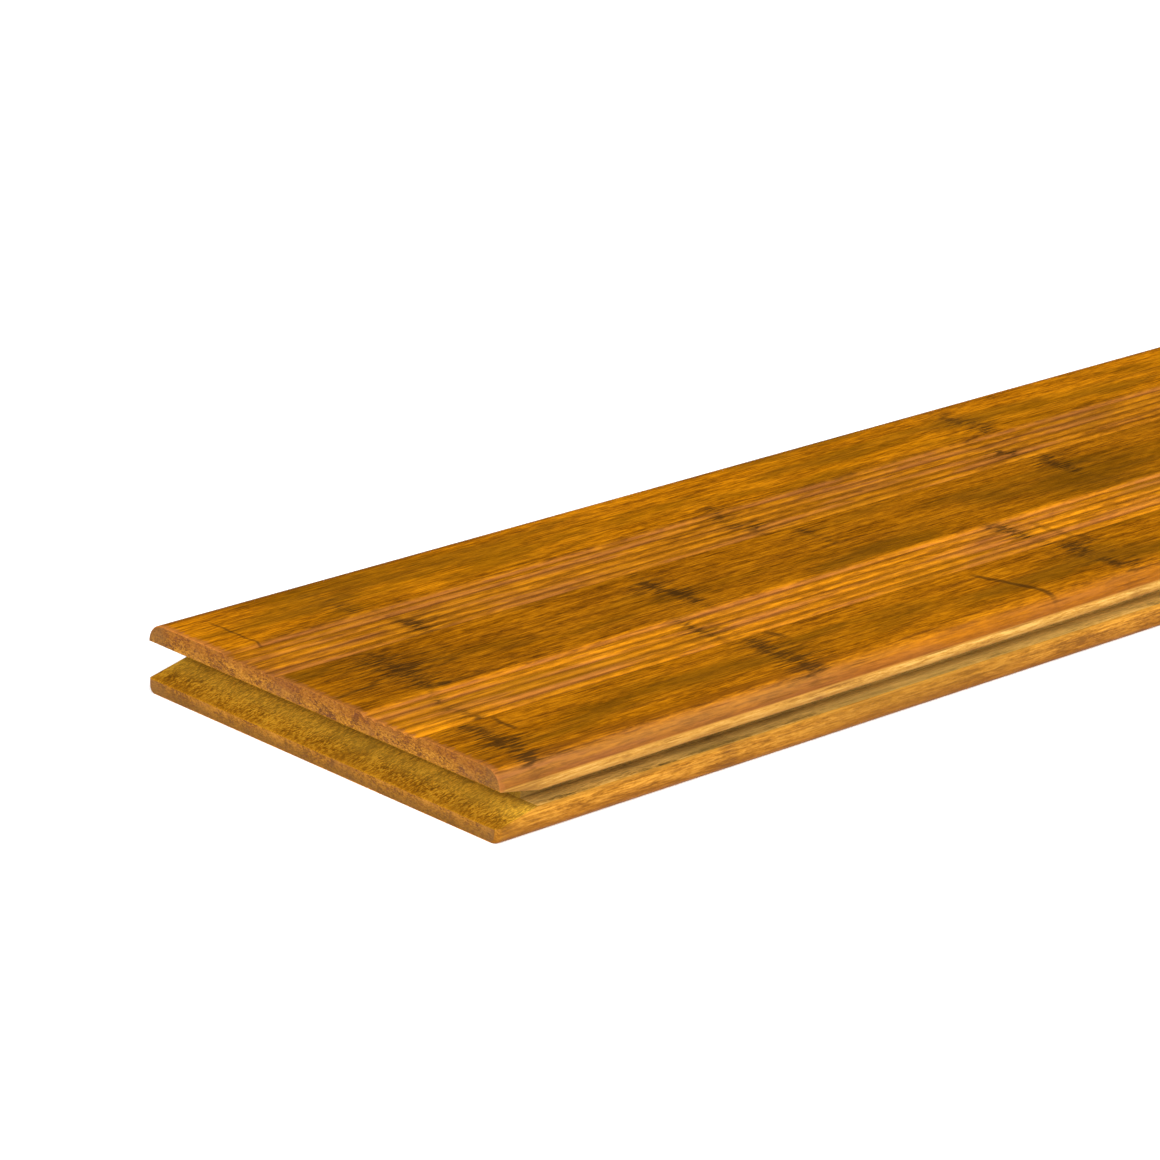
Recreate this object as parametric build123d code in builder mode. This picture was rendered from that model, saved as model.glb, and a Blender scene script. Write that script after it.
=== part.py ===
import os
from math import atan, degrees, sin

from build123d import *

# Bamboo decking board: one moulded plank, millimetres, +Z up.
# X runs along the board, Y across it, and the underside lies on Z = 0.
# The origin is under the middle of the whole board, tongue included.
# The grooved end is at -X and the tongue is at +X.

# Overall size of the plank, its length without the tongue
face_length = 1850.0
board_width = 137.0
board_thickness = 20.0

# Long edges: a big round on top, a small one below, a lower lip set back a little
top_round = 5.6
bottom_round = 2.0
lower_lip_setback = 0.3

# Clip groove along both long sides
clip_groove_bottom = 7.3
clip_groove_height = 4.4
clip_groove_depth = 7.0

# Tapered groove right across the grooved end, as high at its floor as the clip groove
end_groove_depth = 13.5
end_mouth_bottom = 4.2
end_mouth_top = 14.4

# Tongue on the other end: its play in such a groove, above and below it and at its tip
tongue_clearance = 0.3
tongue_tip_gap = 1.0

# Two bands of anti-slip reeding on the walking face
reed_grooves = 6
reed_pitch = 3.9
reed_depth = 1.0
reed_crest_radius = 1.4
reed_band_offset = 27.4

# Values that follow from the sizes above
half_width = board_width / 2
tongue_length = end_groove_depth - tongue_tip_gap
groove_end_x = -(face_length + tongue_length) / 2
tongue_end_x = groove_end_x + face_length
clip_groove_top = clip_groove_bottom + clip_groove_height
clip_groove_back = half_width - clip_groove_depth
lower_lip_y = half_width - lower_lip_setback

# A reed is made of arcs that meet tangent on its flanks: a crest and a hollow
reed_flank = 2 * atan(reed_depth / (reed_pitch / 2))
reed_hollow_radius = reed_pitch / 2 / sin(reed_flank) - reed_crest_radius
reed_band_width = reed_grooves * reed_pitch
reed_band_inner = reed_band_offset - reed_band_width / 2


def reed_band(inner_y):
    """Draws one band of reeding on the top face, outwards from its inner edge."""
    flank = degrees(reed_flank)
    crest_z = board_thickness - reed_crest_radius
    hollow_z = board_thickness - reed_depth + reed_hollow_radius
    for index in range(reed_grooves):
        start_y = inner_y + index * reed_pitch
        middle_y = start_y + reed_pitch / 2
        end_y = start_y + reed_pitch
        CenterArc((start_y, crest_z), reed_crest_radius, 90, -flank)
        CenterArc((middle_y, hollow_z), reed_hollow_radius, 270 - flank, 2 * flank)
        CenterArc((end_y, crest_z), reed_crest_radius, 90 + flank, -flank)


def end_taper(depth):
    """Gives the heights of the end groove's lower and upper faces at a depth."""
    share = depth / end_groove_depth
    lower = end_mouth_bottom + (clip_groove_bottom - end_mouth_bottom) * share
    upper = end_mouth_top + (clip_groove_top - end_mouth_top) * share
    return lower, upper


with BuildPart() as deck_board:
    # Section of the board, drawn as one half and mirrored about its centre line
    with BuildSketch(Plane.YZ.offset(groove_end_x)):
        with BuildLine():
            Line((0, board_thickness), (reed_band_inner, board_thickness))
            reed_band(reed_band_inner)
            Line(
                (reed_band_inner + reed_band_width, board_thickness),
                (half_width - top_round, board_thickness),
            )
            CenterArc((half_width - top_round, board_thickness - top_round), top_round, 90, -90)
            Polyline(
                (half_width, board_thickness - top_round),
                (half_width, clip_groove_top),
                (clip_groove_back, clip_groove_top),
                (clip_groove_back, clip_groove_bottom),
                (lower_lip_y, clip_groove_bottom),
                (lower_lip_y, bottom_round),
            )
            CenterArc((lower_lip_y - bottom_round, bottom_round), bottom_round, 0, -90)
            Line((lower_lip_y - bottom_round, 0), (0, 0))
            mirror(about=Plane.YZ)
        make_face()
    extrude(amount=face_length)

    # Tapered groove right across the board at its grooved end
    mouth_lower, mouth_upper = end_taper(0)
    floor_lower, floor_upper = end_taper(end_groove_depth)
    with BuildSketch(Plane.XZ.offset(-half_width)):
        with BuildLine():
            Polyline(
                (groove_end_x, mouth_lower),
                (groove_end_x + end_groove_depth, floor_lower),
                (groove_end_x + end_groove_depth, floor_upper),
                (groove_end_x, mouth_upper),
                close=True,
            )
        make_face()
    extrude(amount=board_width, mode=Mode.SUBTRACT)

    # Tongue that enters such a groove, as wide as the web between the clip grooves
    tip_lower, tip_upper = end_taper(tongue_length)
    with BuildSketch(Plane.XZ.offset(-clip_groove_back)):
        with BuildLine():
            Polyline(
                (tongue_end_x, mouth_lower + tongue_clearance),
                (tongue_end_x + tongue_length, tip_lower + tongue_clearance),
                (tongue_end_x + tongue_length, tip_upper - tongue_clearance),
                (tongue_end_x, mouth_upper - tongue_clearance),
                close=True,
            )
        make_face()
    extrude(amount=2 * clip_groove_back)

deck_board.part.label = "deck_board"

os.makedirs("parts", exist_ok=True)
export_step(deck_board.part, "parts/deck_board.step")
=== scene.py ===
import math

import bmesh
import bpy
import numpy as np
from mathutils import Matrix, Vector


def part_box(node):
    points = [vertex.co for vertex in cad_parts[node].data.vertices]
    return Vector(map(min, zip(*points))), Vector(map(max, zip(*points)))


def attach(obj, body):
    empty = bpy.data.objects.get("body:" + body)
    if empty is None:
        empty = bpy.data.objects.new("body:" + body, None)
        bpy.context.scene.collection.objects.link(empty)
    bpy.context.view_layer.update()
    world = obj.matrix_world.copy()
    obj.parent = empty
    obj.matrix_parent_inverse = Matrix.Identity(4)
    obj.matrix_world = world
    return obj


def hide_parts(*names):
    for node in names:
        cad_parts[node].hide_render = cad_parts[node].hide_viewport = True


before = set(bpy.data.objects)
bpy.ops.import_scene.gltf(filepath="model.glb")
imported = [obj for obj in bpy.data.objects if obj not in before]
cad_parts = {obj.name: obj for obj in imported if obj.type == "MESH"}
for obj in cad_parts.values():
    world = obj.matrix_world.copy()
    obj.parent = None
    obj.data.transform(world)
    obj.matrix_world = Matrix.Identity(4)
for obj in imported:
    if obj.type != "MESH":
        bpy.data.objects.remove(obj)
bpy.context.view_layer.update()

boardLow, boardHigh = (np.array(corner) * 1000 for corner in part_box("deck_board"))  # mm from here on

# Section and ends of the plank in mm, as the solid has them
board = {
    "topRound": 5.6,
    "bottomRound": 2.0,
    "lipSetback": 0.3,
    "clipBottom": 7.3,
    "clipTop": 11.7,
    "clipDepth": 7.0,
    "endDepth": 13.5,
    "mouthBottom": 4.2,
    "mouthTop": 14.4,
    "tonguePlay": 0.3,
    "tongueTipGap": 1.0,
    "reedCount": 6,
    "reedPitch": 3.9,
    "reedDepth": 1.0,
    "reedCrest": 1.4,
    "reedOffset": 27.4,
    "crestWear": 0.5,  # how far the crests between the hollows are worn down
    "ease": 0.28,  # how far the cut edges are rubbed down
    "easeShare": 0.45,  # and at most this share of a lip
    "nearRub": 1.3,  # rounding of the two upright corners of the plate below the end groove
    "farRub": 0.4,
    "hair": 0.01,  # allowance when a point is told by its place
}

thickness = boardHigh[2]
halfWidth = boardHigh[1]
grooveEnd = boardLow[0]
tongueTip = boardHigh[0]
tongueLength = board["endDepth"] - board["tongueTipGap"]
shoulderEnd = tongueTip - tongueLength
grooveFloor = grooveEnd + board["endDepth"]
clipBack = halfWidth - board["clipDepth"]
lowerLipY = halfWidth - board["lipSetback"]
lipTop = thickness - board["topRound"]
reedBandWidth = board["reedCount"] * board["reedPitch"]

# How closely the surfaces are cut up: steps in mm, or how many steps or points
meshing = {
    "seenStep": 9.0,
    "seenLength": 430.0,
    "unseenStep": 24.0,
    "upperTaperSteps": 18,
    "lowerTaperSteps": 36,
    "upperSlopeStep": 0.9,
    "lowerSlopeStep": 0.42,
    "tongueStep": 4.0,
    "crestPoints": 4,
    "hollowPoints": 7,
    "middlePoints": 15,
    "stripPoints": 21,
    "roundPoints": 12,
    "smallRoundPoints": 6,
    "backPoints": 18,
    "mergeWithin": 2e-6,  # metres
    "sharpAngle": 52,  # degrees
}

sheets = []  # every surface of the board, as (points, faces, finish)


def gridFaces(rows, columns):
    # Four-sided faces between neighbouring rows and columns of a grid of points.
    first = (np.arange(rows - 1)[:, None] * columns + np.arange(columns - 1)).ravel()
    return np.stack([first, first + 1, first + columns + 1, first + columns], 1)


def addGrid(points, finish):
    # A grid of points as one surface.
    rows, columns = points.shape[:2]
    sheets.append((points.reshape(-1, 3), gridFaces(rows, columns).tolist(), finish))


def addZip(lower, upper, finish):
    # Triangles between two rows of points with different spacing: walk across both,
    # each step taken where the middle of its own segment comes next in y.
    base = len(lower)
    lowerMiddle = (lower[1:, 1] + lower[:-1, 1]) / 2
    upperMiddle = (upper[1:, 1] + upper[:-1, 1]) / 2
    lowerStep = np.arange(len(lowerMiddle))
    upperStep = base + np.arange(len(upperMiddle))
    across = base + np.searchsorted(upperMiddle, lowerMiddle)
    back = np.searchsorted(lowerMiddle, upperMiddle, side="right")
    onLower = np.stack([lowerStep, lowerStep + 1, across], 1)
    onUpper = np.stack([upperStep + 1, upperStep, back], 1)
    faces = np.concatenate([onLower, onUpper]).tolist()
    sheets.append((np.concatenate([lower, upper]), faces, finish))


def addFace(ring, finish):
    # One flat face inside a ring of points.
    sheets.append((ring, [list(range(len(ring)))], finish))


def reedBand(inner):
    # One band of reeding outwards from its inner edge: crest, hollow and crest arcs, tangent on the flanks.
    # From the first hollow to the last, the heights are pressed together towards the hollows.
    pitch, depth, crest = board["reedPitch"], board["reedDepth"], board["reedCrest"]
    flank = 2 * math.atan(depth / (pitch / 2))
    hollow = pitch / 2 / math.sin(flank) - crest
    fall = np.linspace(0, flank, meshing["crestPoints"])[:-1]
    dip = np.linspace(-flank, flank, meshing["hollowPoints"])[:-1]
    rise = np.linspace(-flank, 0, meshing["crestPoints"])[:-1]
    y = np.concatenate([
        crest * np.sin(fall),
        pitch / 2 + hollow * np.sin(dip),
        pitch + crest * np.sin(rise),
    ])
    z = np.concatenate([
        -crest * (1 - np.cos(fall)),
        hollow * (1 - np.cos(dip)) - depth,
        -crest * (1 - np.cos(rise)),
    ])
    starts = np.arange(board["reedCount"]) * pitch
    bandY = (starts[:, None] + y).ravel()
    bandZ = np.tile(z, board["reedCount"])
    fromEdge = np.minimum(bandY, reedBandWidth - bandY)
    worn = -board["crestWear"] + bandZ * (1 - board["crestWear"] / depth)
    return inner + bandY, thickness + np.where(fromEdge > pitch / 2, worn, bandZ)


def faceHalf():
    # Half of the walking face from the lip to the middle: quarter round, flat, reeds, flat.
    inner = board["reedOffset"] - reedBandWidth / 2
    roundStart = halfWidth - board["topRound"]
    bandY, bandZ = reedBand(inner)
    middleY = np.linspace(0, inner, meshing["middlePoints"])[:-1]
    outerY = np.linspace(inner + reedBandWidth, roundStart, meshing["stripPoints"])[:-1]
    turn = np.linspace(0, math.pi / 2, meshing["roundPoints"])
    y = np.concatenate([middleY, bandY, outerY, halfWidth - board["topRound"] * (1 - np.sin(turn))])
    z = np.concatenate([
        np.full(len(middleY), thickness),
        bandZ,
        np.full(len(outerY), thickness),
        thickness - board["topRound"] * (1 - np.cos(turn)),
    ])
    return y[::-1], z[::-1]


def taperHeights(x):
    # Heights of the end groove's lower and upper faces: straight from the mouth
    # to the clip groove's own heights.
    lower = np.interp(x, [grooveEnd, grooveFloor], [board["mouthBottom"], board["clipBottom"]])
    upper = np.interp(x, [grooveEnd, grooveFloor], [board["mouthTop"], board["clipTop"]])
    return lower, upper


def bothSides(x, halfY, halfZ):
    # A half section, from a clip groove's back to the middle, joined to its mirror image at every station.
    y = np.concatenate([-halfY, halfY[:, -2::-1]], 1)
    z = np.concatenate([halfZ, halfZ[:, -2::-1]], 1)
    return np.stack([np.broadcast_to(x[:, None], y.shape), y, z], 2)


wallShares = np.linspace(0, 1, 9)  # places across a groove wall
cornerTurns = np.radians([45, 90])  # round an eased corner
lipShares = np.array([0.33, 0.67])  # and up a lip


def upperSkin(x):
    # Groove wall, eased corner, lip, round and walking face: the section above the clip grooves.
    wall = taperHeights(x)[1][:, None]
    ease = np.minimum(board["ease"], board["easeShare"] * (lipTop - wall))
    faceY, faceZ = faceHalf()
    column = np.ones_like(wall)
    y = np.concatenate([
        clipBack + wallShares * (halfWidth - ease - clipBack),
        halfWidth - ease * (1 - np.sin(cornerTurns)),
        halfWidth * column * np.ones_like(lipShares),
        column * faceY,
    ], 1)
    z = np.concatenate([
        wall * np.ones_like(wallShares),
        wall + ease * (1 - np.cos(cornerTurns)),
        wall + ease + lipShares * (lipTop - wall - ease),
        column * faceZ,
    ], 1)
    return bothSides(x, y, z)


def lowerSkin(x):
    # Groove wall, eased corner, lower lip, small round and underside: the section below the clip grooves.
    wall = taperHeights(x)[0][:, None]
    ease = board["ease"]
    turn = np.linspace(0, math.pi / 2, meshing["smallRoundPoints"])
    backY = np.linspace(lowerLipY - board["bottomRound"], 0, meshing["backPoints"])[1:]
    column = np.ones_like(wall)
    y = np.concatenate([
        column * (clipBack + wallShares * (lowerLipY - ease - clipBack)),
        column * (lowerLipY - ease * (1 - np.sin(cornerTurns))),
        lowerLipY * column * np.ones_like(lipShares),
        column * (lowerLipY - board["bottomRound"] * (1 - np.cos(turn))),
        column * backY,
    ], 1)
    z = np.concatenate([
        wall * np.ones_like(wallShares),
        wall - ease * (1 - np.cos(cornerTurns)),
        wall - ease - lipShares * (wall - ease - board["bottomRound"]),
        column * (board["bottomRound"] * (1 - np.sin(turn))),
        column * np.zeros_like(backY),
    ], 1)
    return bothSides(x, y, z)


def endStations(steps):
    # Stations of the grooved end up to the groove's floor, with how far the section is drawn in at each.
    ease = board["ease"]
    turn = np.radians([0, 45])
    x = np.concatenate([
        grooveEnd + ease * (1 - np.cos(turn)),
        np.linspace(grooveEnd + ease, grooveFloor, steps + 1),
    ])
    drawn = np.zeros(len(x))
    drawn[:2] = ease * (1 - np.sin(turn))
    return x, drawn


def mainStations():
    # Stations from the groove's floor to the tongue's shoulder, closer together where the board is seen.
    ease = board["ease"]
    seenTo = grooveFloor + meshing["seenLength"]
    seen = np.linspace(grooveFloor, seenTo, round(meshing["seenLength"] / meshing["seenStep"]) + 1)
    rest = shoulderEnd - ease - seenTo
    unseen = np.linspace(seenTo, shoulderEnd - ease, round(rest / meshing["unseenStep"]) + 1)
    turn = np.radians([45, 0])
    x = np.concatenate([seen, unseen[1:], shoulderEnd - ease * (1 - np.cos(turn))])
    drawn = np.zeros(len(x))
    drawn[-2:] = ease * (1 - np.sin(turn))
    return x, drawn


def drawPlateEnd(points, drawn, low, high):
    # The plate above or below the end groove, drawn in evenly towards its middle at its end.
    share = drawn.reshape((-1,) + (1,) * (points.ndim - 2))
    middle = (low + high) / 2
    points[..., 1] *= 1 - share / halfWidth
    points[..., 2] = middle + (points[..., 2] - middle) * (1 - share / ((high - low) / 2))


def rubCorners(points):
    # Upright corners rounded off, one more than the other: near the end the width shrinks
    # by the gap of a quarter circle.
    rub = np.where(points[..., 1] < 0, board["nearRub"], board["farRub"])
    short = np.clip(grooveEnd + rub - points[..., 0], 0, rub)
    points[..., 1] *= 1 - (rub - np.sqrt(rub ** 2 - short ** 2)) / halfWidth


def drawShoulder(points, drawn):
    # The tongue's shoulder, drawn in round its outside only, so that the clip grooves keep their corners.
    share = drawn.reshape(-1, 1)
    y, z = points[..., 1], points[..., 2]
    outward = np.clip((np.abs(y) - clipBack) / board["clipDepth"], 0, 1)
    above = np.clip((z - board["mouthTop"]) / board["topRound"], 0, 1)
    below = np.clip((board["mouthBottom"] - z) / board["mouthBottom"], 0, 1)
    points[..., 1] = y - np.sign(y) * share * outward
    points[..., 2] = z - share * above + share * below


# Torn fibres of the end groove, in mm: length and width of ridges, finer ridges and waves, and their heights
tornFibres = {
    "ridge": (1.3, 0.6),
    "fineRidge": (0.8, 0.42),
    "fineShare": 0.5,
    "ridgeHeight": 0.02,
    "wave": (6.0, 4.0),
    "waveHeight": 0.03,
    "fadeOver": 2.0,  # the relief fades out over this where faces meet
    "sideGap": 0.4,
    "latticeSize": 64,
    "seed": 11,
}


def lattice(x, y, cell, seed):
    # Smooth noise from -1 to 1: seeded random heights on the corners of cells, eased between them.
    size = tornFibres["latticeSize"]
    heights = np.random.default_rng(seed).uniform(-1, 1, (size, size))
    u = x / cell[0]
    v = y / cell[1]
    uCell = np.floor(u).astype(int)
    vCell = np.floor(v).astype(int)
    uShare = (u - uCell) ** 2 * (3 - 2 * (u - uCell))
    vShare = (v - vCell) ** 2 * (3 - 2 * (v - vCell))

    def corner(a, b):
        return heights[(uCell + a) % size, (vCell + b) % size]

    low = corner(0, 0) * (1 - uShare) + corner(1, 0) * uShare
    high = corner(0, 1) * (1 - uShare) + corner(1, 1) * uShare
    return low * (1 - vShare) + high * vShare


def tornRelief(x, y):
    # Ridges along the grain with finer ones on them and wide waves, faded out where faces meet.
    seed = tornFibres["seed"]
    fine = lattice(x, y, tornFibres["fineRidge"], seed + 1)
    ridges = lattice(x, y, tornFibres["ridge"], seed) + tornFibres["fineShare"] * fine
    waves = lattice(x, y, tornFibres["wave"], seed + 2)
    inward = np.clip((grooveFloor - x) / tornFibres["fadeOver"], 0, 1)
    aside = np.clip((lowerLipY - tornFibres["sideGap"] - np.abs(y)) / tornFibres["fadeOver"], 0, 1)
    return inward * aside * (tornFibres["ridgeHeight"] * ridges + tornFibres["waveHeight"] * waves)


def slope(x, step, upper):
    # One face of the end groove between the clip grooves' backs, straight up to the groove's floor.
    columns = round(2 * clipBack / step) + 1
    points = np.zeros((len(x), columns, 3))
    points[..., 0] = x[:, None]
    points[..., 1] = np.linspace(-clipBack, clipBack, columns)
    points[..., 2] = taperHeights(x)[1 if upper else 0][:, None]
    return points


def addLongSkins(upperMain, upperEnd, lowerMain, lowerEnd):
    # The long skins in stretches of columns that share a finish, and the backs of the clip grooves.
    walls = len(wallShares)
    lips = walls + len(cornerTurns) + len(lipShares)
    bottom = lips + meshing["smallRoundPoints"] - 1  # where the underside starts
    for points, inner, wall, lip, middle in (
        (upperMain, lips, "grooveWall", "paleLip", "oiledFace"),
        (upperEnd, lips, "roughCut", "paleLip", "oiledFace"),
        (lowerMain, bottom, "grooveWall", "goldenLip", "planedBack"),
        (lowerEnd, bottom, "roughCut", "goldenLip", "planedBack"),
    ):
        near = (0, walls - 1, inner)
        farthest = points.shape[1] - 1
        split = near + tuple(farthest - column for column in reversed(near))
        for first, last, name in zip(split, split[1:], (wall, lip, middle, lip, wall)):
            addGrid(points[:, first:last + 1], name)
    for side in (0, -1):
        addGrid(np.stack([upperMain[:, side], lowerMain[:, side]], 1), "grooveWall")
    print("skins", upperMain.shape, lowerMain.shape)


def addGroovedEnd(upperEnd, upperSlope, lowerEnd, lowerSlope):
    # The end groove's two slopes and the floor between them, and the end faces above and below its mouth.
    walls = len(wallShares)

    def mouth(end, face):
        return np.concatenate([end[0, walls - 1:0:-1], face[0], end[0, -2:-walls - 1:-1]])

    addGrid(upperSlope, "roughCut")
    addGrid(lowerSlope, "roughCut")
    addZip(lowerSlope[-1], upperSlope[-1], "roughCut")
    addZip(mouth(upperEnd, upperSlope), upperEnd[0, walls - 1:1 - walls], "endGrain")
    addZip(lowerEnd[0, walls - 1:1 - walls], mouth(lowerEnd, lowerSlope), "endGrain")


def addTongue(upperRow, lowerRow):
    # The tongue: four tapered faces and a tip, and the shoulder faces above and below its root.
    play = board["tonguePlay"]
    rootLow = board["mouthBottom"] + play
    rootHigh = board["mouthTop"] - play
    tipLow, tipHigh = taperHeights(grooveEnd + tongueLength)
    turn = np.radians([90, 45, 0])
    ease = board["ease"]
    tongueX = np.concatenate([[shoulderEnd], tongueTip - ease * (1 - np.cos(turn))])
    drawn = np.concatenate([[0], ease * (1 - np.sin(turn))])
    along = (tongueX - shoulderEnd) / tongueLength
    low = rootLow + (tipLow + play - rootLow) * along + drawn
    high = rootHigh + (tipHigh - play - rootHigh) * along - drawn
    half = clipBack - drawn
    across = np.linspace(-1, 1, round(2 * clipBack / meshing["tongueStep"]) + 1)
    rows = np.array([rootLow, board["clipBottom"], board["clipTop"], rootHigh])
    rise = (rows - rootLow) / (rootHigh - rootLow)

    def tongueFace(y, z):
        x = np.broadcast_to(tongueX[:, None], y.shape)
        return np.stack([x, y, np.broadcast_to(z, y.shape)], 2)

    top = tongueFace(half[:, None] * across, high[:, None])
    bottom = tongueFace(half[:, None] * across, low[:, None])
    sideZ = low[:, None] + (high - low)[:, None] * rise
    left = tongueFace(np.broadcast_to(-half[:, None], sideZ.shape), sideZ)
    right = tongueFace(np.broadcast_to(half[:, None], sideZ.shape), sideZ)
    for points in (top, bottom, left, right):
        addGrid(points, "tongueCut")
    addFace(np.concatenate([bottom[-1], right[-1, 1:-1], top[-1, ::-1], left[-1, -2:0:-1]]), "endGrain")
    addFace(np.concatenate([upperRow, top[0, ::-1]]), "endGrain")
    addFace(np.concatenate([lowerRow, bottom[0, ::-1]]), "endGrain")


def buildBoard():
    mainX, mainDrawn = mainStations()
    upperX, upperDrawn = endStations(meshing["upperTaperSteps"])
    lowerX, lowerDrawn = endStations(meshing["lowerTaperSteps"])
    upperMain = upperSkin(mainX)
    upperEnd = upperSkin(upperX)
    lowerMain = lowerSkin(mainX)
    lowerEnd = lowerSkin(lowerX)
    upperSlope = slope(upperX, meshing["upperSlopeStep"], True)
    lowerSlope = slope(lowerX, meshing["lowerSlopeStep"], False)

    # torn fibres on the slopes and on the groove walls that run on from them
    walls = len(wallShares)
    for end, face, side in ((upperEnd, upperSlope, -1), (lowerEnd, lowerSlope, 1)):
        for points in (face, end[:, :walls], end[:, -walls:]):
            points[..., 2] += side * tornRelief(points[..., 0], points[..., 1])

    for points in (upperEnd, upperSlope):
        drawPlateEnd(points, upperDrawn, board["mouthTop"], thickness)
    for points in (lowerEnd, lowerSlope):
        drawPlateEnd(points, lowerDrawn, 0, board["mouthBottom"])
        rubCorners(points)
    for points in (upperMain, lowerMain):
        drawShoulder(points, mainDrawn)

    addLongSkins(upperMain, upperEnd, lowerMain, lowerEnd)
    addGroovedEnd(upperEnd, upperSlope, lowerEnd, lowerSlope)
    addTongue(upperMain[-1], lowerMain[-1])


def joinSheets():
    # All surfaces in one mesh: equal points merged, faces turned outwards,
    # shading broken at the sharp corners.
    offsets = np.cumsum([0] + [len(points) for points, faces, finish in sheets])
    points = np.concatenate([sheet[0] for sheet in sheets]) / 1000
    faces = [
        [corner + int(offset) for corner in face]
        for offset, sheet in zip(offsets, sheets)
        for face in sheet[1]
    ]
    order = list(finishes)
    slots = np.concatenate([np.full(len(sheet[1]), order.index(sheet[2])) for sheet in sheets])
    mesh = bpy.data.meshes.new("deckBoard")
    mesh.from_pydata(points.tolist(), [], faces)
    mesh.polygons.foreach_set("material_index", slots.astype(np.int32))
    mesh.polygons.foreach_set("use_smooth", np.ones(len(faces), bool))
    shell = bmesh.new()
    shell.from_mesh(mesh)
    bmesh.ops.remove_doubles(shell, verts=shell.verts, dist=meshing["mergeWithin"])
    bmesh.ops.recalc_face_normals(shell, faces=shell.faces)
    openEdges = sum(not edge.is_manifold for edge in shell.edges)
    shell.to_mesh(mesh)
    shell.free()
    mesh.set_sharp_from_angle(angle=math.radians(meshing["sharpAngle"]))
    triangles = sum(len(polygon.vertices) - 2 for polygon in mesh.polygons)
    print("board mesh", len(mesh.vertices), "points", triangles, "triangles", openEdges, "open edges")
    return mesh


# Dark rings where the cane's joints were, strip by strip, in mm from the grooved end and the near side:
# tone is how light the strip is, and a ring has its x, half its width, its depth, and its darker spots,
# each with its y and how much deeper it is
nodeRings = {
    "upper": (
        {"to": 29.4, "tone": 1.0, "rings": (
            (13.5, 3.4, 0.50, ((3, 0.6), (14.5, 0.6), (24, 0.2))),
            (113, 2.6, 0.50, ((4, 0.5), (12, 0.4), (22, 0.4))),
            (238.5, 2.8, 0.45, ((8, 0.5), (23, 0.6))),
        )},
        {"to": 52.8, "tone": 1.03, "rings": (
            (22, 1.3, 0.28, ((33, 0.2), (45, 0.3))),
            (110, 2.2, 0.30, ((41, 0.5), (48, 0.2))),
            (236, 2.4, 0.30, ((40, 0.3), (47, 0.4))),
        )},
        {"to": 84.2, "tone": 0.88, "rings": (
            (27.5, 6.0, 0.45, ((56, 0.2), (67, 0.6), (75, 0.2))),
            (125.5, 3.4, 0.25, ((61, 0.8), (68, 0.5), (75, 0.7))),
            (188, 2.6, 0.08, ((69, 0.3), (80, 0.5))),
            (289.5, 3.2, 0.15, ((71, 0.5), (79, 0.7))),
        )},
        {"to": 107.6, "tone": 0.79, "rings": (
            (54, 2.8, 0.15, ((89, 0.3), (94, 0.5))),
            (181, 3.0, 0.22, ((94, 0.5), (103, 0.2))),
            (286, 2.8, 0.20, ((93, 0.5),)),
        )},
        {"to": 137, "tone": 1.24, "rings": (
            (46, 3.4, 0.22, ((112, 0.3),)),
            (182, 2.4, 0.06, ((109, 0.4),)),
            (296.5, 3.4, 0.25, ((112, 0.5), (121, 0.5))),
        )},
    ),
    "lower": (
        {"to": 16, "rings": (
            (-20, 2.0, 0.4, ()),
            (81, 2.6, 0.6, ()),
            (183, 1.6, 0.2, ()),
        )},
        {"to": 45, "rings": ((60, 2.2, 0.4, ((30, 0.4),)),)},
        {"to": 71, "rings": ((20, 2.0, 0.4, ((60, 0.4),)),)},
        {"to": 98, "rings": ((84, 2.4, 0.4, ((80, 0.5),)),)},
        {"to": 137, "rings": ((38, 2.0, 0.4, ((110, 0.5),)),)},
    ),
    "spotReach": 4.0,
    "pitch": 108.0,
    "spacing": (96, 128),  # the rest of the length has rings at random within these
    "wide": (2.0, 3.6),
    "dark": (0.1, 0.45),
    "spots": 2,
    "spotDepth": (0.1, 0.6),
    "seed": 41,
}


def stripRings(strip, start, x, y, draw):
    # A strip's rings, counted along the board: a whole number at each ring and a straight run between them,
    # with each ring's half width, and its depth plus a soft bump for each darker spot.
    rings = list(strip["rings"])
    count = nodeRings["spots"]
    while rings[-1][0] < tongueTip - grooveEnd:
        spotY = draw.uniform(start, strip["to"], count)
        spots = tuple(zip(spotY, draw.uniform(*nodeRings["spotDepth"], count)))
        ringX = rings[-1][0] + draw.uniform(*nodeRings["spacing"])
        rings.append((ringX, draw.uniform(*nodeRings["wide"]), draw.uniform(*nodeRings["dark"]), spots))
    ringX, wide, dark, spots = zip(*rings)
    phase = np.interp(x, (ringX[0] - nodeRings["pitch"], *ringX), np.arange(len(rings) + 1))
    nearest = np.clip(np.round(phase).astype(int) - 1, 0, len(rings) - 1)
    depth = np.array(dark)[nearest]
    for number, places in enumerate(spots):
        for spotY, deeper in places:
            bump = deeper * np.exp(-((y - spotY) / nodeRings["spotReach"]) ** 2)
            depth = depth + np.where(nearest == number, bump, 0)
    return phase, np.array(wide)[nearest], depth, np.full(len(x), strip.get("tone", 1.0))


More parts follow.
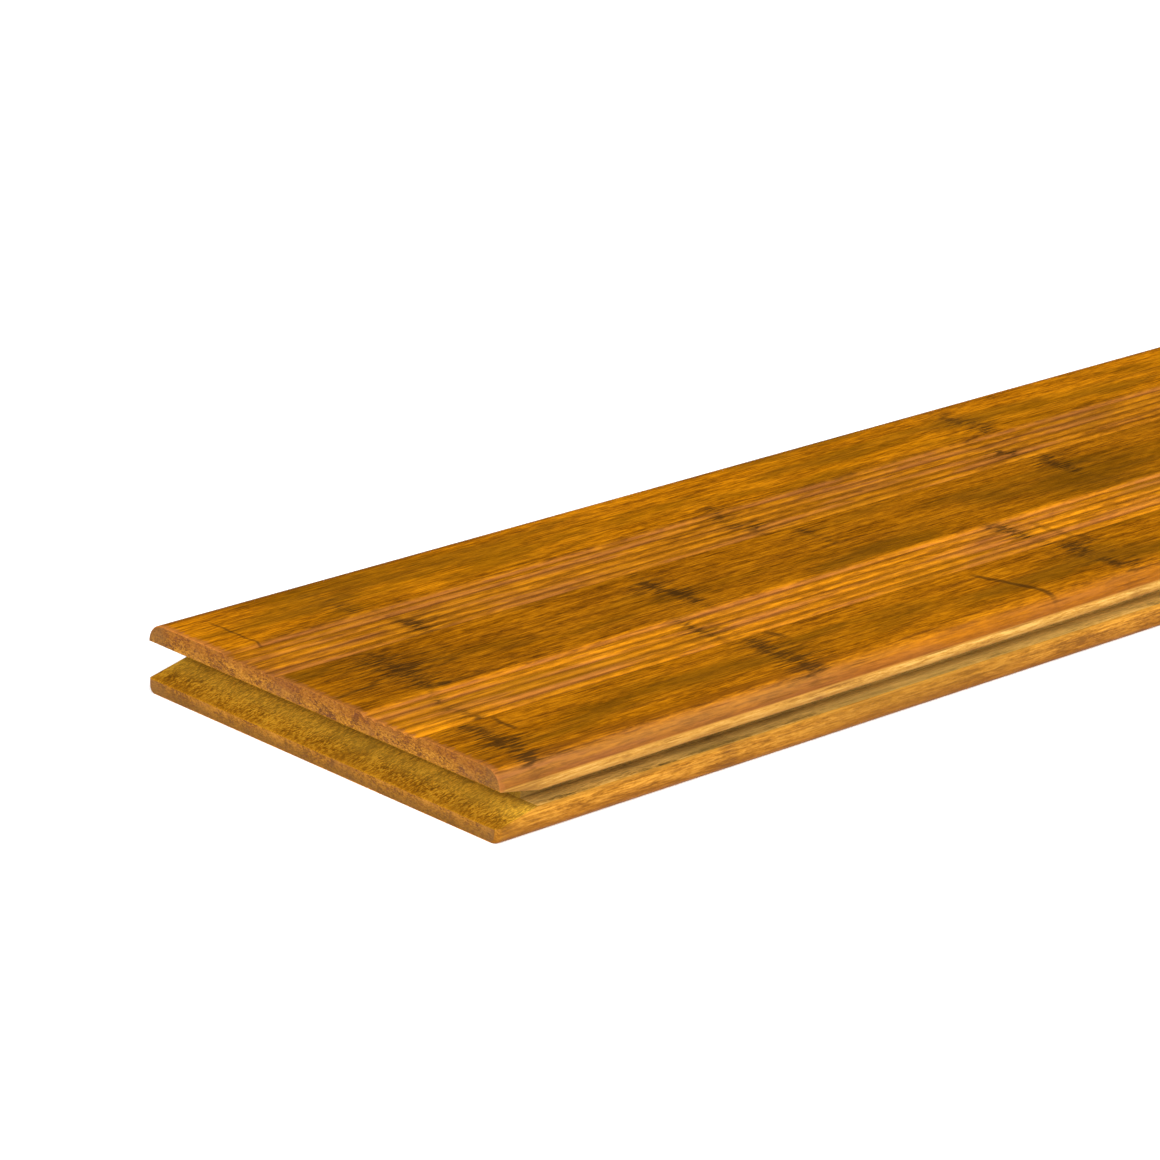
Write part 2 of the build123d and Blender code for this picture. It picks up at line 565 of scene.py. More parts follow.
def paintRings(mesh):
    # Ring count, width and depth at every face corner, so that neighbouring strips stay apart.
    corners = np.zeros(len(mesh.loops), np.int32)
    mesh.loops.foreach_get("vertex_index", corners)
    places = np.zeros(len(mesh.vertices) * 3)
    mesh.vertices.foreach_get("co", places)
    places = places.reshape(-1, 3) * 1000
    starts = np.zeros(len(mesh.polygons), np.int32)
    sizes = np.zeros(len(mesh.polygons), np.int32)
    mesh.polygons.foreach_get("loop_start", starts)
    mesh.polygons.foreach_get("loop_total", sizes)
    owner = np.repeat(np.arange(len(sizes)), sizes)
    x = places[corners, 0] - grooveEnd
    y = places[corners, 1] + halfWidth
    middle = np.add.reduceat(places[corners], starts, axis=0) / sizes[:, None]
    fromNear = middle[owner, 1] + halfWidth
    isLower = middle[owner, 2] < (board["clipBottom"] + board["clipTop"]) / 2
    draw = np.random.default_rng(nodeRings["seed"])
    painted = {name: np.zeros(len(corners)) for name in ("ringPhase", "ringWide", "ringDark", "stripTone")}
    for layer, within in (("upper", ~isLower), ("lower", isLower)):
        start = -1.0
        for strip in nodeRings[layer]:
            inside = within & (fromNear > start) & (fromNear <= strip["to"])
            for name, values in zip(painted, stripRings(strip, start, x, y, draw)):
                painted[name] = np.where(inside, values, painted[name])
            start = strip["to"]
    for name, values in painted.items():
        mesh.attributes.new(name, "FLOAT", "CORNER").data.foreach_set("value", values.astype(np.float32))

    # depth in the reeding, 0 on a worn crest and 1 in a hollow
    fromMiddle = np.abs(np.abs(places[:, 1]) - board["reedOffset"])
    inBand = fromMiddle < reedBandWidth / 2 - board["hair"]
    relief = board["reedDepth"] - board["crestWear"]
    depth = np.clip((thickness - board["crestWear"] - places[:, 2]) / relief, 0, 1)
    onFace = places[:, 2] > thickness - board["reedDepth"] - board["hair"]
    reeds = np.where(inBand & onFace, depth, 0)
    mesh.attributes.new("reedDepth", "FLOAT", "POINT").data.foreach_set("value", reeds.astype(np.float32))
    print("rings painted on", len(corners), "corners")


def paint(red, green, blue):
    # A colour as the eye reads it, 0 to 255, turned into the linear one that shaders take.
    share = np.array([red, green, blue]) / 255
    linear = np.where(share <= 0.04045, share / 12.92, ((share + 0.055) / 1.055) ** 2.4)
    return (*linear.tolist(), 1.0)


wiring = {"tree": None}  # the node tree that is being wired


def newNode(kind):
    return wiring["tree"].nodes.new("ShaderNode" + kind)


def plug(value, socket):
    # A socket's value: another socket's output, or a number or colour of its own.
    if isinstance(value, bpy.types.NodeSocket):
        wiring["tree"].links.new(value, socket)
    else:
        socket.default_value = value


def calc(operation, first, second=0.0, third=0.0):
    step = newNode("Math")
    step.operation = operation
    for value, socket in zip((first, second, third), step.inputs):
        plug(value, socket)
    return step.outputs[0]


def times(first, second):
    return calc("MULTIPLY", first, second)


def minus(first, second):
    return calc("SUBTRACT", first, second)


def timesPlus(first, second, third):
    return calc("MULTIPLY_ADD", first, second, third)


def unsigned(value):
    return calc("ABSOLUTE", value)


def remap(value, fromLow, fromHigh, toLow=0.0, toHigh=1.0, how="SMOOTHSTEP"):
    # Step from toLow at fromLow to toHigh at fromHigh, eased unless how says otherwise, held outside them.
    step = newNode("MapRange")
    step.interpolation_type = how
    for place, number in enumerate((value, fromLow, fromHigh, toLow, toHigh)):
        plug(number, step.inputs[place])
    return step.outputs[0]


def blend(share, under, over, how="MIX"):
    step = newNode("Mix")
    step.data_type = "RGBA"
    step.blend_type = how
    plug(share, step.inputs[0])
    plug(under, step.inputs[6])
    plug(over, step.inputs[7])
    return step.outputs[2]


def stretch(place, scale, shift=(0.0, 0.0, 0.0)):
    step = newNode("VectorMath")
    step.operation = "MULTIPLY_ADD"
    plug(place, step.inputs[0])
    step.inputs[1].default_value = scale
    step.inputs[2].default_value = shift
    return step.outputs[0]


def grain(place, scale, shift=(0.0, 0.0, 0.0), detail=2.0, rough=0.5, twist=0.0):
    # Noise stretched along the board: scale is in ripples for each mm along, across and up.
    step = newNode("TexNoise")
    plug(stretch(place, scale, shift), step.inputs["Vector"])
    step.inputs["Scale"].default_value = 1.0
    step.inputs["Detail"].default_value = detail
    step.inputs["Roughness"].default_value = rough
    step.inputs["Distortion"].default_value = twist
    return step.outputs[0]


def swing(place, noise):
    # A noise as a swing to both sides of nought.
    return minus(grain(place, **noise), 0.5)


def cells(place, scale):
    step = newNode("TexVoronoi")
    plug(stretch(place, scale), step.inputs["Vector"])
    step.inputs["Scale"].default_value = 1.0
    return step


def attribute(name):
    step = newNode("Attribute")
    step.attribute_name = name
    return step.outputs["Fac"]


# How a joint ring is drawn: its noises in ripples for each mm along, across and up, how many mm they shift
# its line by, and its reaches in half widths of the ring
ringLook = {
    "wander": {"scale": (0.01, 0.10, 0.10), "detail": 1.0},
    "wanderBy": 7.0,
    "ragged": {"scale": (0.07, 1.30, 1.30), "shift": (3.1, 0, 0)},
    "raggedBy": 11.0,
    "mottle": {"scale": (0.22, 0.5, 0.5), "shift": (0, 7.7, 0)},
    "mottleRamp": (0.36, 0.58, 0.35, 1.0),
    "coreRamp": (0.0, 1.6, 1.0, 0.0),
    "fibres": {"scale": (0.05, 1.0, 1.0), "shift": (0, 0, 4.4)},
    "fibreRamp": (0.42, 0.62),
    "cloudRamp": (0.8, 5.5, 0.7, 0.0),
    "fleckBy": -0.9,
    "fleckFrom": 1.45,
    "deepest": 0.86,
}


def ringMarks(place, strength, fleck):
    # Dark ring of a cane joint: a soft line across the strip, mottled, its fibres of uneven reach,
    # with a cloud of darkened fibres along the grain on both sides.
    phase = calc("ADD", attribute("ringPhase"), 0.5)
    share = minus(calc("FRACT", phase), 0.5)
    line = times(share, nodeRings["pitch"])
    line = timesPlus(swing(place, ringLook["wander"]), ringLook["wanderBy"], line)
    line = timesPlus(swing(place, ringLook["ragged"]), ringLook["raggedBy"], line)
    reach = calc("DIVIDE", unsigned(line), attribute("ringWide"))
    mottle = remap(grain(place, **ringLook["mottle"]), *ringLook["mottleRamp"])
    core = times(remap(reach, *ringLook["coreRamp"]), mottle)
    fibres = remap(grain(place, **ringLook["fibres"]), *ringLook["fibreRamp"])
    cloud = times(fibres, remap(reach, *ringLook["cloudRamp"]))
    total = times(calc("ADD", core, cloud), attribute("ringDark"))
    flecked = timesPlus(fleck, ringLook["fleckBy"], ringLook["fleckFrom"])
    total = times(times(total, flecked), strength)
    return calc("MINIMUM", total, ringLook["deepest"])


# Thin dark marks and drying cracks on the walking face, in mm from the grooved end and the near side
cracks = (
    {"start": (198.4, 26.0), "end": (206.6, 0.0), "width": 1.6, "bow": 0.7, "dark": 0.7},
    {"start": (0.0, 63.6), "end": (18.0, 65.2), "width": 1.0, "bow": -0.5, "dark": 0.65},
    {"start": (12.4, 104.0), "end": (11.6, 127.0), "width": 0.7, "bow": 0.3, "dark": 0.6},
    {"start": (22.8, 18.0), "end": (23.4, 30.0), "width": 1.2, "bow": 0.2, "dark": 0.65},
    {"start": (121.0, 31.0), "end": (124.5, 22.0), "width": 1.8, "bow": 0.3, "dark": 0.6},
    {"start": (248.4, 22.0), "end": (246.0, 48.0), "width": 2.2, "bow": 0.4, "dark": 0.35},
)
crackLook = {
    "colour": (58, 34, 6),
    "noise": {"scale": (0.2, 0.2, 0.2), "detail": 1.0},
    "waverBy": 1.6,
    "core": 0.2,  # share of the width that is fully dark
    "opens": (-1.0, 3.0),  # mm from the start
    "closes": (-4.0, 1.0),  # mm from the end
}


def crackLine(axes, waver, crack):
    # A bowed line between two points: how far a place lies beside it, against the line's half width.
    start, end = np.array(crack["start"]), np.array(crack["end"])
    length = float(np.hypot(*(end - start)))
    alongX, alongY = ((end - start) / length).tolist()
    x = minus(axes.outputs[0], float(grooveEnd + start[0]))
    y = minus(axes.outputs[1], float(start[1] - halfWidth))
    forward = timesPlus(x, alongX, times(y, alongY))
    aside = timesPlus(x, -alongY, times(y, alongX))
    run = calc("DIVIDE", forward, length)
    arch = times(run, minus(1.0, run))
    arch = times(arch, 4 * crack["bow"])
    aside = minus(timesPlus(waver, crackLook["waverBy"], aside), arch)
    aside = unsigned(aside)
    beside = remap(aside, crack["width"] * crackLook["core"], crack["width"], crack["dark"], 0.0)
    opening = remap(forward, *crackLook["opens"])
    closing = remap(forward, *(length + gap for gap in crackLook["closes"]), 1.0, 0.0)
    return times(beside, times(opening, closing))


def crackColours(place, axes, colour):
    # All the cracks, drawn over the face one after another.
    waver = swing(place, crackLook["noise"])
    for crack in cracks:
        colour = blend(crackLine(axes, waver, crack), colour, paint(*crackLook["colour"]))
    return colour


# Finishes: colours as the eye reads them, and shares of the tone in the order of bambooLook's toneParts
finishes = {
    "oiledFace": {
        "dark": (112, 62, 0), "middle": (163, 97, 0), "light": (196, 122, 4), "olive": (114, 72, 0),
        "oliveShare": 0.7, "shares": (0.14, 0.16, 0.22, 0.06, 0.3, 0.45, 0.08), "grit": 0.11,
        "dots": 0.45, "dotReach": 0.32, "dotColour": (86, 44, 4),
        "rings": 1.0, "ringColour": (66, 40, 8), "roughness": 0.55, "specular": 0.07, "bump": 0.15,
        "walked": True,
    },
    "paleLip": {
        "dark": (140, 92, 28), "middle": (194, 140, 55), "light": (216, 168, 86), "olive": (164, 115, 45),
        "oliveShare": 0.5, "shares": (0.18, 0.12, 0.2, 0.08, 0.55, 0.6, 0.1), "grit": 0.09,
        "dots": 0.35, "dotReach": 0.34, "dotColour": (124, 76, 28),
        "rings": 0.4, "ringColour": (110, 66, 26), "roughness": 0.6, "specular": 0.1, "bump": 0.15,
    },
    "grooveWall": {
        "dark": (104, 78, 32), "middle": (188, 140, 60), "light": (216, 168, 84), "olive": (130, 104, 48),
        "oliveShare": 0.7, "shares": (0.15, 0.2, 0.26, 0.14, 0.5, 0.9, 0.1), "grit": 0.1, "short": 1.5,
        "dots": 0.15, "dotReach": 0.34, "dotColour": (90, 64, 28),
        "rings": 0.4, "ringColour": (90, 60, 26), "roughness": 0.7, "specular": 0.1, "bump": 0.2,
    },
    "goldenLip": {
        "dark": (128, 78, 12), "middle": (170, 111, 26), "light": (202, 140, 45), "olive": (140, 94, 22),
        "oliveShare": 0.6, "shares": (0.16, 0.22, 0.26, 0.12, 0.4, 0.9, 0.15), "grit": 0.09,
        "dots": 0.35, "dotReach": 0.34, "dotColour": (112, 64, 14),
        "rings": 0.7, "ringColour": (112, 68, 20), "roughness": 0.55, "specular": 0.08, "bump": 0.15,
    },
    "endGrain": {
        "dark": (102, 60, 24), "middle": (158, 102, 27), "light": (182, 123, 42), "olive": (124, 78, 42),
        "oliveShare": 0.5, "shares": (0.12, 0.14, 0.24, 0.16, 0.6, 0.5, 0.2), "grit": 0.1,
        "dots": 0.36, "dotReach": 0.4, "dotColour": (100, 54, 38), "coarse": (1.8, 0.8),
        "rings": 0.0, "roughness": 0.8, "specular": 0.08, "bump": 0.3,
    },
    "roughCut": {
        "dark": (120, 77, 6), "middle": (176, 118, 14), "light": (212, 156, 38), "olive": (150, 106, 22),
        "oliveShare": 0.5, "shares": (0.14, 0.12, 0.24, 0.42, 0.5, 0.44, 0.2), "grit": 0.12, "short": 2.4,
        "dots": 0.38, "dotReach": 0.34, "dotColour": (86, 50, 8),
        "rings": 0.0, "roughness": 0.85, "specular": 0.08, "bump": 0.24,
    },
    "tongueCut": {
        "dark": (100, 60, 8), "middle": (152, 98, 22), "light": (182, 126, 40), "olive": (130, 88, 24),
        "oliveShare": 0.5, "shares": (0.18, 0.14, 0.28, 0.18, 0.5, 0.4, 0.3), "grit": 0.1, "short": 2.0,
        "dots": 0.4, "dotReach": 0.34, "dotColour": (92, 54, 14),
        "rings": 0.0, "roughness": 0.75, "specular": 0.08, "bump": 0.25,
    },
    "planedBack": {
        "dark": (134, 80, 14), "middle": (176, 112, 24), "light": (204, 138, 40), "olive": (142, 96, 22),
        "oliveShare": 0.5, "shares": (0.18, 0.14, 0.22, 0.08, 0.4, 0.4, 0.3), "grit": 0.09,
        "dots": 0.3, "dotReach": 0.32, "dotColour": (104, 58, 18),
        "rings": 0.9, "ringColour": (76, 44, 14), "roughness": 0.65, "specular": 0.1, "bump": 0.15,
    },
}

# Changes of colour towards an edge: what is measured, from and to in mm, the colour, its share, and how
# uneven its border is; height is from the floor, along from the nearer end, inward from the nearer side
edgeFades = {
    "paleLip": (
        ("height", 13.7, 11.8, (142, 96, 34), 0.75, 0.8),
        ("along", 150, 90, (172, 120, 48), 0.3, 60),
        ("along", 15, 7, (150, 102, 36), 0.9, 8),
    ),
    "grooveWall": (
        # painted light towards the clip groove's mouth, then painted shade deep in the groove
        ("inward", 1, 3.5, (206, 162, 86), 0.5, 3),
        ("inward", 5, 7, (110, 84, 36), 0.35, 2.5),
        ("along", 90, 150, (232, 190, 100), 0.26, 60),
    ),
    "goldenLip": (
        # painted highlight towards the top of the lower lip and painted shade towards the floor
        ("height", 6, 7.3, (182, 128, 44), 0.6, 1.5),
        ("height", 4.8, 0.8, (124, 72, 6), 0.75, 2),
    ),
    "endGrain": (
        ("height", 16, 18.6, (126, 68, 22), 0.5, 5),
        ("height", 4.8, 0.8, (116, 78, 26), 0.75, 1.5),
        ("inward", 11, 3, (122, 84, 42), 0.55, 8),
    ),
    "roughCut": (
        ("along", 3, 9, (255, 210, 74), 0.27, 2),
        ("along", 4.5, 0, (142, 88, 0), 0.6, 2),
        # painted shade deep in the end groove
        ("along", 10.8, 13.4, (104, 74, 24), 0.6, 1),
    ),
}

# Noises of the bamboo, in ripples for each mm along, across and up
bambooNoise = {
    "fibre": {"scale": (0.06, 1.2, 1.2), "detail": 3.0, "rough": 0.6},
    "streak": {"scale": (0.05, 0.5, 0.5), "shift": (0, 0, 3.3), "detail": 1.0},
    "fleck": {"scale": (0.22, 2.2, 2.2), "shift": (2.7, 0, 0)},
    "speck": {"scale": (0.9, 2.6, 2.6), "shift": (0, 0, 1.7), "detail": 1.0},
    "medium": {
        "scale": (0.022, 0.28, 0.28), "shift": (9.1, 0, 0), "detail": 4.0, "rough": 0.6, "twist": 0.4,
    },
    "blotch": {"scale": (0.06, 0.17, 0.17), "shift": (0, 0, 5.9), "detail": 4.0, "rough": 0.6},
    "broad": {"scale": (0.012, 0.065, 0.065), "shift": (0, 4.2, 0), "detail": 4.0, "rough": 0.62},
}
bambooLook = {
    "ramps": {
        "fibre": (0.36, 0.64), "streak": (0.34, 0.66), "fleck": (0.34, 0.66), "speck": (0.36, 0.64),
        "broad": (0.46, 0.66),
    },
    "shortened": ("fibre", "streak", "fleck", "medium", "blotch"),  # shorter where fibres are short
    "coarsened": ("fibre", "streak", "fleck", "speck"),  # and wider where they are coarse
    "toneParts": ("fibre", "streak", "fleck", "speck", "medium", "blotch", "slat"),
    "slat": (0.0035, 0.12, 0.22),
    "bundle": (0.03, 0.95, 0.95),
    "dotCore": 0.35,
    "roughRamp": (0.3, 0.7),
    "roughSpread": 0.07,
    "bundleRelief": 0.5,
    "reliefDistance": 0.0003,  # metres
}

# Extra colours of the walking face, the noises that break them up, and their steps from one place to another
walkedFace = {
    "reedHighlightGain": (1.6, 1.7, 2.0),  # how many times lighter the reeding's flanks are painted in red, green and blue: a painted highlight where they face the light
    # colour of the painted highlight on the reeding's flanks
    "reedFlankHighlight": (204, 127, 26),
    "flankShare": 0.5,
    # pinkish colour of a painted sheen on the reeding's flanks
    "reedSheen": (168, 100, 54),
    # painted shade along the bottoms of the reeding's hollows
    "reedHollowShade": (104, 54, 4),
    "brow": (124, 70, 0),
    "shoulderByEnd": (158, 106, 50),
    "shoulder": (178, 106, 16),
    "shoulderShare": 0.6,
    # pinkish colour of a painted sheen on the round edge, laid in patches
    "shoulderSheen": (150, 92, 50),
    # painted shade at the foot of the round edge
    "shoulderFootShade": (118, 62, 14),
    # painted highlight as a pale rim just above the lip
    "shoulderRimHighlight": (196, 142, 58),
    "endRim": (158, 96, 42),
    "patchyBy": 120.0,  # mm
    "frayedBy": 6.0,
    "edgeRingLoss": 0.8,
}
walkedNoise = {
    "stretches": {"scale": (0.03, 0.27, 0.27), "shift": (6.3, 0, 0), "detail": 3.0},
    "sheenPatches": {"scale": (0.022, 0.20, 0.20), "shift": (0, 2.9, 0), "detail": 3.0},
    "broken": {"scale": (0.05, 0.4, 0.4), "shift": (0, 0, 8.3), "detail": 3.0},
    "patchy": {"scale": (0.03, 0.3, 0.3), "shift": (4.7, 0, 0), "detail": 4.0, "rough": 0.6},
    "frayed": {"scale": (0.25, 1.1, 1.1), "shift": (1.9, 0, 0)},
}
walkedRamps = {
    "inBand": (-1.4, -0.5, 1.0, 0.0),  # from the band's border
    "outer": (-2.5, -1.3),
    "flank": (-0.5, 0.45),  # shares of a hollow's depth
    "hollow": (0.82, 1.0, 0.0, 0.5),
    "stretches": (0.36, 0.64, 0.4, 0.78),
    "sheenPatches": (0.46, 0.64, 0.0, 0.5),
    "broken": (0.40, 0.60, 0.1, 0.55),
    "beyond": (150.0, 215.0),  # mm from the grooved end
    "endRim": (2.2, 0.5, 0.0, 0.75),
    "browInner": (6.4, 4.9),  # mm from the side
    "browOuter": (2.8, 4.2),
    "browByEnd": (0.0, 1.0, 0.8, 0.25),
    "outside": (4.5, 2.5),
    "edge": (-0.3, -2.2),  # from the walking face
    "foot": (3.2, 0.4, 0.0, 0.6),  # from the top of the lip
    "rim": (0.7, 0.15, 0.0, 0.75),
    "patches": (0.42, 0.62, 0.0),
    "patchesByEnd": (0.0, 1.0, 0.6, 0.3),
}


def ramp(value, name, base=0.0):
    # One of the walking face's steps, with its places counted from base.
    start, end, *levels = walkedRamps[name]
    return remap(value, base + start, base + end, *levels)


def brokenRamp(place, name):
    return ramp(grain(place, **walkedNoise[name]), name)


def veil(colour, name, share):
    # One of the walking face's extra colours laid over the others.
    return blend(share, colour, paint(*walkedFace[name]))


def reedColours(place, axes, colour):
    # Reeding painted lighter on its flanks in broken stretches as a painted highlight, with a painted
    # pinkish sheen on the flanks and painted shade in the hollows.
    depth = attribute("reedDepth")
    fromMiddle = minus(unsigned(axes.outputs[1]), board["reedOffset"])
    fromMiddle = unsigned(fromMiddle)
    inBand = ramp(fromMiddle, "inBand", reedBandWidth / 2)
    flank = times(ramp(depth, "flank"), inBand)
    # worn is a painted highlight on the flanks, in broken stretches
    worn = times(flank, brokenRamp(place, "stretches"))
    colour = blend(worn, colour, (*walkedFace["reedHighlightGain"], 1.0), "MULTIPLY")
    colour = veil(colour, "reedFlankHighlight", times(worn, walkedFace["flankShare"]))
    outer = ramp(fromMiddle, "outer", reedBandWidth / 2)  # the band's first and last flank, which get the painted sheen too
    outer = times(outer, brokenRamp(place, "broken"))
    # painted sheen on the flanks, in patches and along the band's first and last flank
    sheenPatches = calc("MAXIMUM", brokenRamp(place, "sheenPatches"), outer)
    colour = veil(colour, "reedSheen", times(flank, sheenPatches))
    # painted shade in the hollows
    return veil(colour, "reedHollowShade", ramp(depth, "hollow"))


def edgeColours(place, axes, colour):
    # Round long edge with a dark brow, purplish patches of painted sheen, painted shade at its foot and a
    # pale rim of painted highlight above the lip, and a frayed rim at the grooved end.
    fromSide = minus(float(halfWidth), unsigned(axes.outputs[1]))
    fromEnd = minus(axes.outputs[0], float(grooveEnd))
    height = axes.outputs[2]
    patchy = grain(place, **walkedNoise["patchy"])
    beyond = ramp(timesPlus(patchy, walkedFace["patchyBy"], fromEnd), "beyond")
    brow = times(ramp(fromSide, "browInner"), ramp(fromSide, "browOuter"))
    colour = veil(colour, "brow", times(brow, ramp(beyond, "browByEnd")))
    edge = times(ramp(height, "edge", thickness), ramp(fromSide, "outside"))
    shoulder = blend(beyond, paint(*walkedFace["shoulderByEnd"]), paint(*walkedFace["shoulder"]))
    colour = blend(times(edge, walkedFace["shoulderShare"]), colour, shoulder)
    # patches of painted sheen on the round edge
    patches = remap(patchy, *walkedRamps["patches"], ramp(beyond, "patchesByEnd"))
    colour = veil(colour, "shoulderSheen", times(edge, patches))
    # painted shade at the foot of the round, above the lip
    colour = veil(colour, "shoulderFootShade", times(edge, ramp(height, "foot", lipTop)))
    # painted highlight on a thin rim just above the lip
    colour = veil(colour, "shoulderRimHighlight", times(edge, ramp(height, "rim", lipTop)))
    frayed = swing(place, walkedNoise["frayed"])
    fromCut = timesPlus(frayed, walkedFace["frayedBy"], fromEnd)
    return veil(colour, "endRim", ramp(fromCut, "endRim")), edge


def bambooPatterns(place, look):
    # Every pattern of the bamboo by its name: noises fitted to the finish, slats of one tone each,
    # and fibre bundles, which are lines on the long faces and dots where they are cut across.
    wide, tall = look.get("coarse", (1.0, 1.0))
    patterns = {}
    for name, noise in bambooNoise.items():
        along, across, up = noise["scale"]
        if name in bambooLook["shortened"]:
            along = along * look.get("short", 1.0)
        if name in bambooLook["coarsened"]:
            across = across / wide
            up = up / tall
        patterns[name] = grain(place, **{**noise, "scale": (along, across, up)})
        if name in bambooLook["ramps"]:
            patterns[name] = remap(patterns[name], *bambooLook["ramps"][name])
    slat = newNode("SeparateColor")
    plug(cells(place, bambooLook["slat"]).outputs["Color"], slat.inputs[0])
    patterns["slat"] = slat.outputs[0]
    along, across, up = bambooLook["bundle"]
    patterns["bundle"] = cells(place, (along, across / wide, up / tall)).outputs["Distance"]
    return patterns


def bambooColour(axes, look, patterns, fades):
    # Dark to light by the sum of the patterns, then olive patches, then the fades with their uneven borders.
    tone = 0.5
    for name, share in zip(bambooLook["toneParts"], look["shares"]):
        tone = timesPlus(minus(patterns[name], 0.5), share * 2, tone)
    dark, middle, light, olive = (paint(*look[name]) for name in ("dark", "middle", "light", "olive"))
    colour = blend(remap(tone, 0.0, 0.5, how="LINEAR"), dark, middle)
    colour = blend(remap(tone, 0.5, 1.0, how="LINEAR"), colour, light)
    colour = blend(times(patterns["broad"], look["oliveShare"]), colour, olive)
    measures = {
        "height": axes.outputs[2],
        "along": minus(float(tongueTip), unsigned(axes.outputs[0])),
        "inward": minus(float(halfWidth), unsigned(axes.outputs[1])),
    }
    waver = minus(patterns["medium"], 0.5)
    for axis, start, end, shade, share, uneven in fades:
        measure = timesPlus(waver, uneven, measures[axis])
        colour = blend(remap(measure, start, end, 0.0, share), colour, paint(*shade))
    return colour


def bambooFinish(name):
    # Bamboo with its grain along X, in mm.
    look = finishes[name]
    walked = look.get("walked")
    material = bpy.data.materials.new(name)
    material.use_nodes = True
    wiring["tree"] = material.node_tree
    shader = material.node_tree.nodes["Principled BSDF"]
    place = stretch(newNode("TexCoord").outputs["Object"], (1000.0, 1000.0, 1000.0))
    axes = newNode("SeparateXYZ")
    plug(place, axes.inputs[0])
    patterns = bambooPatterns(place, look)
    colour = bambooColour(axes, look, patterns, edgeFades.get(name, ()))

    ringStrength = look["rings"]
    if walked:
        colour = reedColours(place, axes, colour)
        colour, edge = edgeColours(place, axes, colour)
        kept = timesPlus(edge, -walkedFace["edgeRingLoss"], 1.0)
        ringStrength = times(kept, look["rings"])
    reach = look["dotReach"]
    dots = remap(patterns["bundle"], reach * bambooLook["dotCore"], reach, look["dots"], 0.0)
    colour = blend(dots, colour, paint(*look["dotColour"]))
    if look["rings"]:
        marks = ringMarks(place, ringStrength, patterns["fleck"])
        colour = blend(marks, colour, paint(*look["ringColour"]))
    if walked:
        colour = crackColours(place, axes, colour)
    threads = calc("ADD", patterns["fibre"], patterns["fleck"])
    tint = timesPlus(minus(threads, 1.0), look["grit"], studio["depth"])
    if walked:
        tint = times(tint, attribute("stripTone"))
    grey = newNode("CombineColor")
    for socket in grey.inputs:
        plug(tint, socket)
    plug(blend(1.0, colour, grey.outputs[0], "MULTIPLY"), shader.inputs["Base Color"])

    spread = bambooLook["roughSpread"]
    smooth, rough = look["roughness"] - spread, look["roughness"] + spread
    roughness = remap(patterns["medium"], *bambooLook["roughRamp"], smooth, rough)
    plug(roughness, shader.inputs["Roughness"])
    shader.inputs["Specular IOR Level"].default_value = look["specular"]
    relief = newNode("Bump")
    relief.inputs["Strength"].default_value = look["bump"]
    relief.inputs["Distance"].default_value = bambooLook["reliefDistance"]
    height = timesPlus(patterns["bundle"], bambooLook["bundleRelief"], threads)
    plug(height, relief.inputs["Height"])
    plug(relief.outputs[0], shader.inputs["Normal"])
    return material


def addObject(name, data):
    item = bpy.data.objects.new(name, data)
    bpy.context.scene.collection.objects.link(item)
    return item


def makeBoard():
    buildBoard()
    mesh = joinSheets()
    paintRings(mesh)
    piece = addObject("deckBoard", mesh)
    for name in finishes:
        mesh.materials.append(bambooFinish(name))
    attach(piece, "root")
    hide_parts("deck_board")
    print("board made")


# Pale floor and soft studio light
studio = {
    "floorReach": 40.0,
    "floorColour": (250, 250, 249),
    "depth": 0.89,  # finishes are this much deeper than their colours, for a floor lit to white
    "floorGlow": 0.25,
    "floorRoughness": 0.9,
    "floorSpecular": 0.1,
    "lights": (
        {"name": "keyPanel", "towards": (-0.30, -0.75, 0.58), "away": 14.0, "size": 8.0, "watts": 1800},
        {"name": "sidePanel", "towards": (-0.85, -0.35, 0.36), "away": 14.0, "size": 8.0, "watts": 1800},
        {"name": "topPanel", "towards": (0.0, 0.10, 1.0), "away": 14.0, "size": 10.0, "watts": 900},
        {"name": "sheenPanel", "towards": (0.66, -0.45, 0.60), "away": 14.0, "size": 8.0, "watts": 400},
    ),
}


def makeFloor():
    reach = studio["floorReach"]
    mesh = bpy.data.meshes.new("studioFloor")
    corners = [(-reach, -reach, 0), (reach, -reach, 0), (reach, reach, 0), (-reach, reach, 0)]
    mesh.from_pydata(corners, [], [(0, 1, 2, 3)])
    floor = addObject("studioFloor", mesh)
    material = bpy.data.materials.new("paleFloor")
    material.use_nodes = True
    shader = material.node_tree.nodes["Principled BSDF"]
    shader.inputs["Base Color"].default_value = paint(*studio["floorColour"])
    shader.inputs["Emission Color"].default_value = (1, 1, 1, 1)
    shader.inputs["Emission Strength"].default_value = studio["floorGlow"]
    shader.inputs["Roughness"].default_value = studio["floorRoughness"]
    shader.inputs["Specular IOR Level"].default_value = studio["floorSpecular"]
    mesh.materials.append(material)
    print("floor laid")


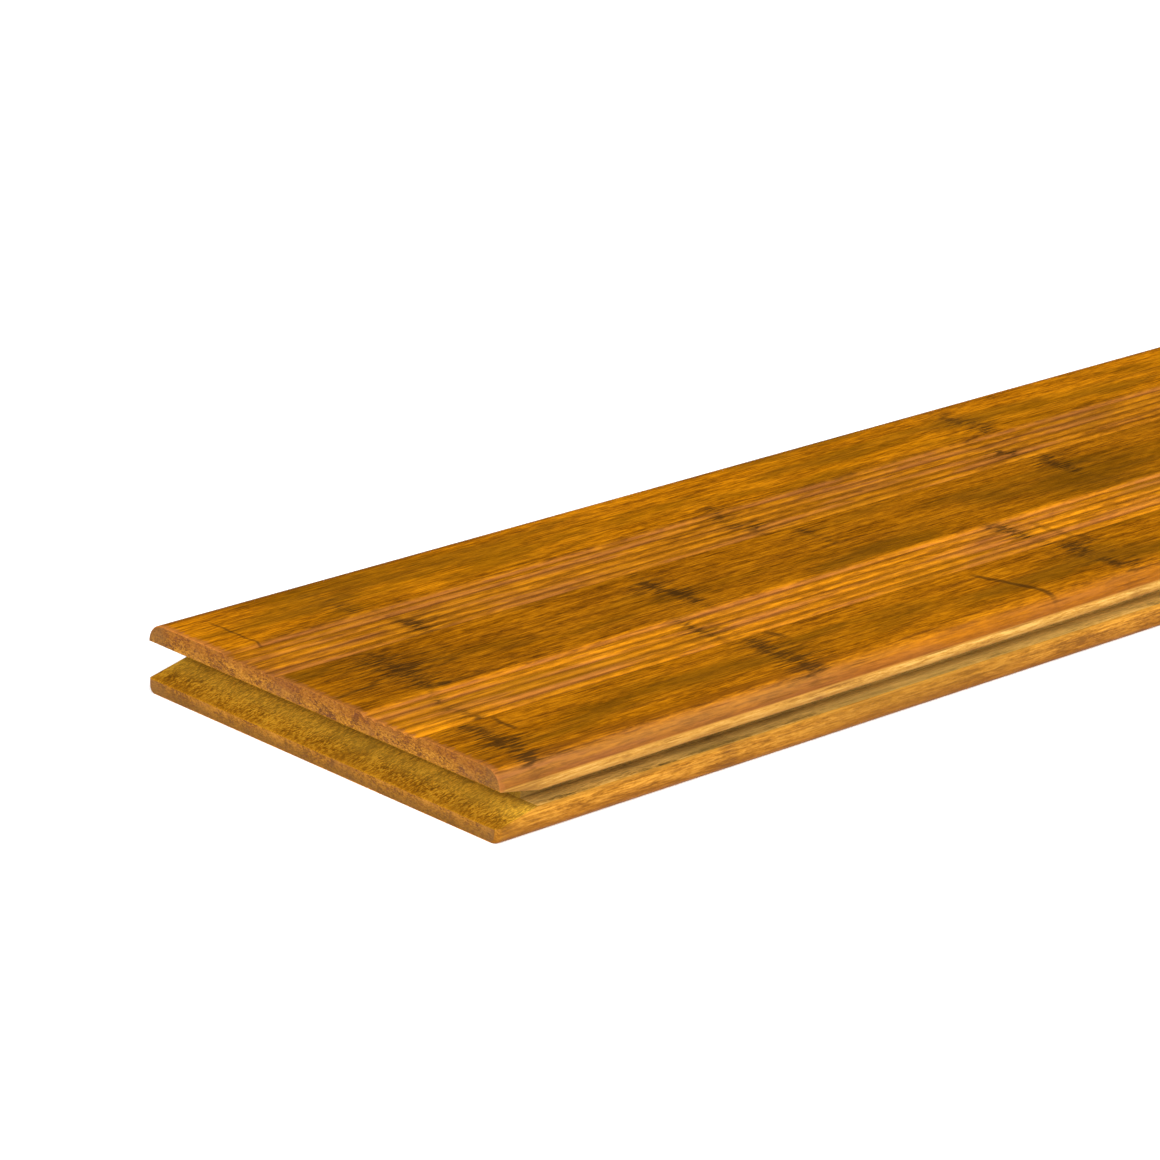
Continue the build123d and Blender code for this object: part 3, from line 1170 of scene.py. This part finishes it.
def makeLights():
    for light in studio["lights"]:
        lamp = bpy.data.lights.new(light["name"], "AREA")
        lamp.energy = light["watts"]
        lamp.size = light["size"]
        stand = addObject(light["name"], lamp)
        direction = Vector(light["towards"]).normalized()
        stand.location = direction * light["away"]
        stand.rotation_mode = "QUATERNION"
        stand.rotation_quaternion = direction.to_track_quat("Z", "Y")
        stand.visible_camera = False
    world = bpy.data.worlds.new("studioSky")
    world.use_nodes = True
    wiring["tree"] = world.node_tree
    backdrop = world.node_tree.nodes["Background"]
    backdrop.inputs["Color"].default_value = (1, 1, 1, 1)
    seen = newNode("LightPath").outputs["Is Camera Ray"]
    plug(seen, backdrop.inputs["Strength"])  # a white sky that lights nothing
    bpy.context.scene.world = world
    print("lights hung")


# The camera stands where the picture was taken, in mm from the near bottom corner of the grooved end
cameraStand = {
    "eye": (-852.36, -903.49, 517.59),
    "azimuth": 44.154,
    "elevation": 19.777,
    "roll": 2.006,
    "focalPixels": 5420.5,
    "imagePixels": 1160,
    "sensor": 36.0,
    "clipEnd": 200.0,  # metres
}


def makeCamera():
    data = bpy.data.cameras.new("photoCamera")
    data.sensor_width = cameraStand["sensor"]
    data.lens = cameraStand["sensor"] * cameraStand["focalPixels"] / cameraStand["imagePixels"]
    data.clip_end = cameraStand["clipEnd"]
    camera = addObject("photoCamera", data)
    azimuth, elevation, roll = (math.radians(cameraStand[key]) for key in ("azimuth", "elevation", "roll"))
    level = math.cos(elevation)
    ahead = Vector((math.sin(azimuth) * level, math.cos(azimuth) * level, -math.sin(elevation)))
    aside = Vector((math.cos(azimuth), -math.sin(azimuth), 0))
    above = aside.cross(ahead)
    right = aside * math.cos(roll) + above * math.sin(roll)
    up = right.cross(ahead)
    turn = Matrix((right, up, -ahead)).transposed()
    corner = Vector((grooveEnd, -halfWidth, 0))
    camera.matrix_world = Matrix.Translation((corner + Vector(cameraStand["eye"])) / 1000) @ turn.to_4x4()
    bpy.context.scene.camera = camera
    print("camera set")


makeBoard()
makeFloor()
makeLights()
makeCamera()
bpy.context.scene.view_settings.view_transform = "Standard"
